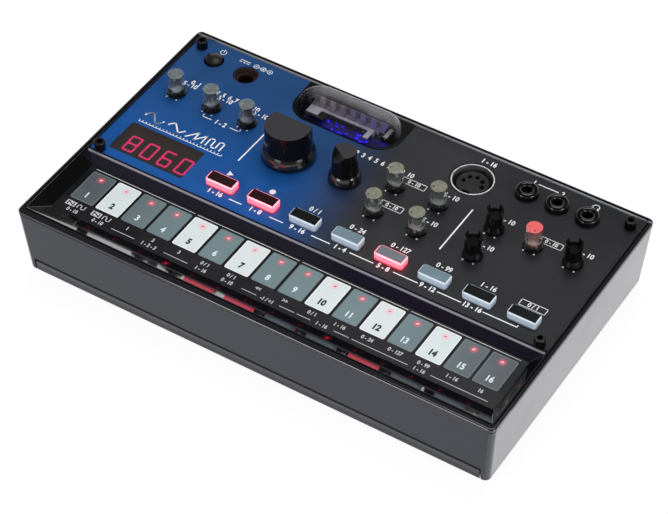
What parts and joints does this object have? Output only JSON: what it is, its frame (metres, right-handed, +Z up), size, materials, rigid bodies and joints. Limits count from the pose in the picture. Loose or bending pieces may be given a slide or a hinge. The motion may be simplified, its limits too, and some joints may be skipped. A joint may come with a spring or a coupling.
{
  "type": "desktop synthesizer",
  "caption": "Small battery powered desktop bass synthesizer with a sloped touch keyboard recess, lit knobs, push buttons, a tube window and panel sockets.",
  "frame": {"origin": "centre of the footprint on the surface that the feet stand on", "axes": "+X to the player's right, +Y to the back edge, +Z up"},
  "size_m": [0.193, 0.115, 0.0451],
  "materials": {
    "case_shell": "gloss",
    "cover_shell": "gloss",
    "panel_print": "satin",
    "key_plate": "satin",
    "key_white": "satin",
    "key_grey": "satin",
    "circuit_board": "satin",
    "light_red": "gloss",
    "light_blue": "gloss",
    "switch_body": "matte",
    "pot_metal": "satin",
    "bezel_black": "gloss",
    "smoke_window": "gloss",
    "tube_glass": "gloss",
    "electrode_metal": "satin",
    "display_glass": "gloss",
    "display_body": "matte",
    "socket_black": "satin",
    "socket_chrome": "polished",
    "screw_black": "satin",
    "screw_steel": "satin",
    "speaker_black": "matte",
    "cell_wrap": "gloss",
    "contact_metal": "satin",
    "foot_rubber": "matte",
    "knob_clear": "gloss",
    "knob_lit": "gloss",
    "knob_black": "gloss",
    "knob_matte": "matte",
    "button_dark": "gloss",
    "button_lit": "gloss",
    "button_grey": "satin"
  },
  "bodies": {
    "base": {"bottom_case": "case_shell", "top_cover": "cover_shell", "face_panel": "panel_print", "keyboard_plate": "key_plate", "keys_white": "key_white", "keys_grey": "key_grey", "keyboard_board": "circuit_board", "indicator_leds": "light_red", "main_board": "circuit_board", "button_switches": "switch_body", "pot_bodies": "pot_metal", "tube_bezel": "bezel_black", "tube_window": "smoke_window", "vacuum_tube": "tube_glass", "tube_electrodes": "electrode_metal", "tube_lamps": "light_blue", "display_window": "display_glass", "display_module": "display_body", "dc_socket": "socket_black", "midi_socket_shell": "socket_chrome", "midi_socket_insert": "socket_black", "mini_jacks": "socket_black", "panel_screws": "screw_black", "case_screws": "screw_steel", "speaker": "speaker_black", "batteries": "cell_wrap", "battery_contacts": "contact_metal", "rear_feet": "foot_rubber"},
    "pitch": {"knob_pitch": "knob_clear", "spindle_pitch": "knob_black"},
    "saturation": {"knob_saturation": "knob_clear", "spindle_saturation": "knob_black"},
    "level": {"knob_level": "knob_clear", "spindle_level": "knob_black"},
    "attack": {"knob_attack": "knob_clear", "spindle_attack": "knob_black"},
    "decay": {"knob_decay": "knob_clear", "spindle_decay": "knob_black"},
    "envelope": {"knob_envelope": "knob_clear", "spindle_envelope": "knob_black"},
    "accent": {"knob_accent": "knob_clear", "spindle_accent": "knob_black"},
    "tempo": {"knob_tempo": "knob_lit", "spindle_tempo": "knob_black"},
    "drive": {"knob_drive": "knob_black"},
    "tone": {"knob_tone": "knob_black"},
    "volume": {"knob_volume": "knob_black"},
    "cutoff": {"knob_cutoff": "knob_matte"},
    "peak": {"knob_peak": "knob_matte"},
    "button_1_body": {"button_1": "button_lit"},
    "button_2_body": {"button_2": "button_lit"},
    "button_3_body": {"button_3": "button_dark"},
    "button_4_body": {"button_4": "button_grey"},
    "button_5_body": {"button_5": "button_lit"},
    "button_6_body": {"button_6": "button_grey"},
    "button_7_body": {"button_7": "button_dark"},
    "button_8_body": {"button_8": "button_dark"},
    "power_button_body": {"power_button": "button_grey"},
    "door": {"battery_door": "case_shell", "door_feet": "foot_rubber"}
  },
  "joints": [
    {"name": "pitch_turn", "type": "hinge", "parent": "base", "child": "pitch", "pos_m": [-0.08383, 0.0238, 0.0303], "axis": [0, 0, 1], "range_deg": [-282, 18]},
    {"name": "saturation_turn", "type": "hinge", "parent": "base", "child": "saturation", "pos_m": [-0.06821, 0.0238, 0.0303], "axis": [0, 0, 1], "range_deg": [-285, 15]},
    {"name": "level_turn", "type": "hinge", "parent": "base", "child": "level", "pos_m": [-0.0526, 0.0238, 0.0303], "axis": [0, 0, 1], "range_deg": [-290, 10]},
    {"name": "attack_turn", "type": "hinge", "parent": "base", "child": "attack", "pos_m": [0.01043, 0.0238, 0.0303], "axis": [0, 0, 1], "range_deg": [-261, 39]},
    {"name": "decay_turn", "type": "hinge", "parent": "base", "child": "decay", "pos_m": [0.02801, 0.0238, 0.0303], "axis": [0, 0, 1], "range_deg": [-272, 28]},
    {"name": "envelope_turn", "type": "hinge", "parent": "base", "child": "envelope", "pos_m": [0.01043, 0.00881, 0.0303], "axis": [0, 0, 1], "range_deg": [-291, 9]},
    {"name": "accent_turn", "type": "hinge", "parent": "base", "child": "accent", "pos_m": [0.02801, 0.00881, 0.0303], "axis": [0, 0, 1], "range_deg": [-290, 10]},
    {"name": "tempo_turn", "type": "hinge", "parent": "base", "child": "tempo", "pos_m": [0.06618, 0.0238, 0.0303], "axis": [0, 0, 1], "range_deg": [0, 300]},
    {"name": "drive_turn", "type": "hinge", "parent": "base", "child": "drive", "pos_m": [0.05061, 0.0238, 0.0303], "axis": [0, 0, 1], "range_deg": [-150, 150]},
    {"name": "tone_turn", "type": "hinge", "parent": "base", "child": "tone", "pos_m": [0.05061, 0.00881, 0.0303], "axis": [0, 0, 1], "range_deg": [-150, 150]},
    {"name": "volume_turn", "type": "hinge", "parent": "base", "child": "volume", "pos_m": [0.0818, 0.0238, 0.0303], "axis": [0, 0, 1], "range_deg": [-150, 150]},
    {"name": "cutoff_turn", "type": "hinge", "parent": "base", "child": "cutoff", "pos_m": [-0.03071, 0.0177, 0.0303], "axis": [0, 0, 1], "range_deg": [-150, 150]},
    {"name": "peak_turn", "type": "hinge", "parent": "base", "child": "peak", "pos_m": [-0.00711, 0.01791, 0.0303], "axis": [0, 0, 1], "range_deg": [-297, 3]},
    {"name": "button_1_press", "type": "slide", "parent": "base", "child": "button_1_body", "axis": [0, 0, -1], "range_m": [0, 0.0006], "stiffness_N_per_m": 250, "springref_m": -0.0004},
    {"name": "button_2_press", "type": "slide", "parent": "base", "child": "button_2_body", "axis": [0, 0, -1], "range_m": [0, 0.0006], "stiffness_N_per_m": 250, "springref_m": -0.0004},
    {"name": "button_3_press", "type": "slide", "parent": "base", "child": "button_3_body", "axis": [0, 0, -1], "range_m": [0, 0.0006], "stiffness_N_per_m": 250, "springref_m": -0.0004},
    {"name": "button_4_press", "type": "slide", "parent": "base", "child": "button_4_body", "axis": [0, 0, -1], "range_m": [0, 0.0006], "stiffness_N_per_m": 250, "springref_m": -0.0004},
    {"name": "button_5_press", "type": "slide", "parent": "base", "child": "button_5_body", "axis": [0, 0, -1], "range_m": [0, 0.0006], "stiffness_N_per_m": 250, "springref_m": -0.0004},
    {"name": "button_6_press", "type": "slide", "parent": "base", "child": "button_6_body", "axis": [0, 0, -1], "range_m": [0, 0.0006], "stiffness_N_per_m": 250, "springref_m": -0.0004},
    {"name": "button_7_press", "type": "slide", "parent": "base", "child": "button_7_body", "axis": [0, 0, -1], "range_m": [0, 0.0006], "stiffness_N_per_m": 250, "springref_m": -0.0004},
    {"name": "button_8_press", "type": "slide", "parent": "base", "child": "button_8_body", "axis": [0, 0, -1], "range_m": [0, 0.0006], "stiffness_N_per_m": 250, "springref_m": -0.0004},
    {"name": "power_button_press", "type": "slide", "parent": "base", "child": "power_button_body", "axis": [0, 0, -1], "range_m": [0, 0.0006], "stiffness_N_per_m": 250, "springref_m": -0.0004},
    {"name": "battery_door_slide", "type": "slide", "parent": "base", "child": "door", "axis": [0, -1, 0], "range_m": [0, 0.04]}
  ]
}
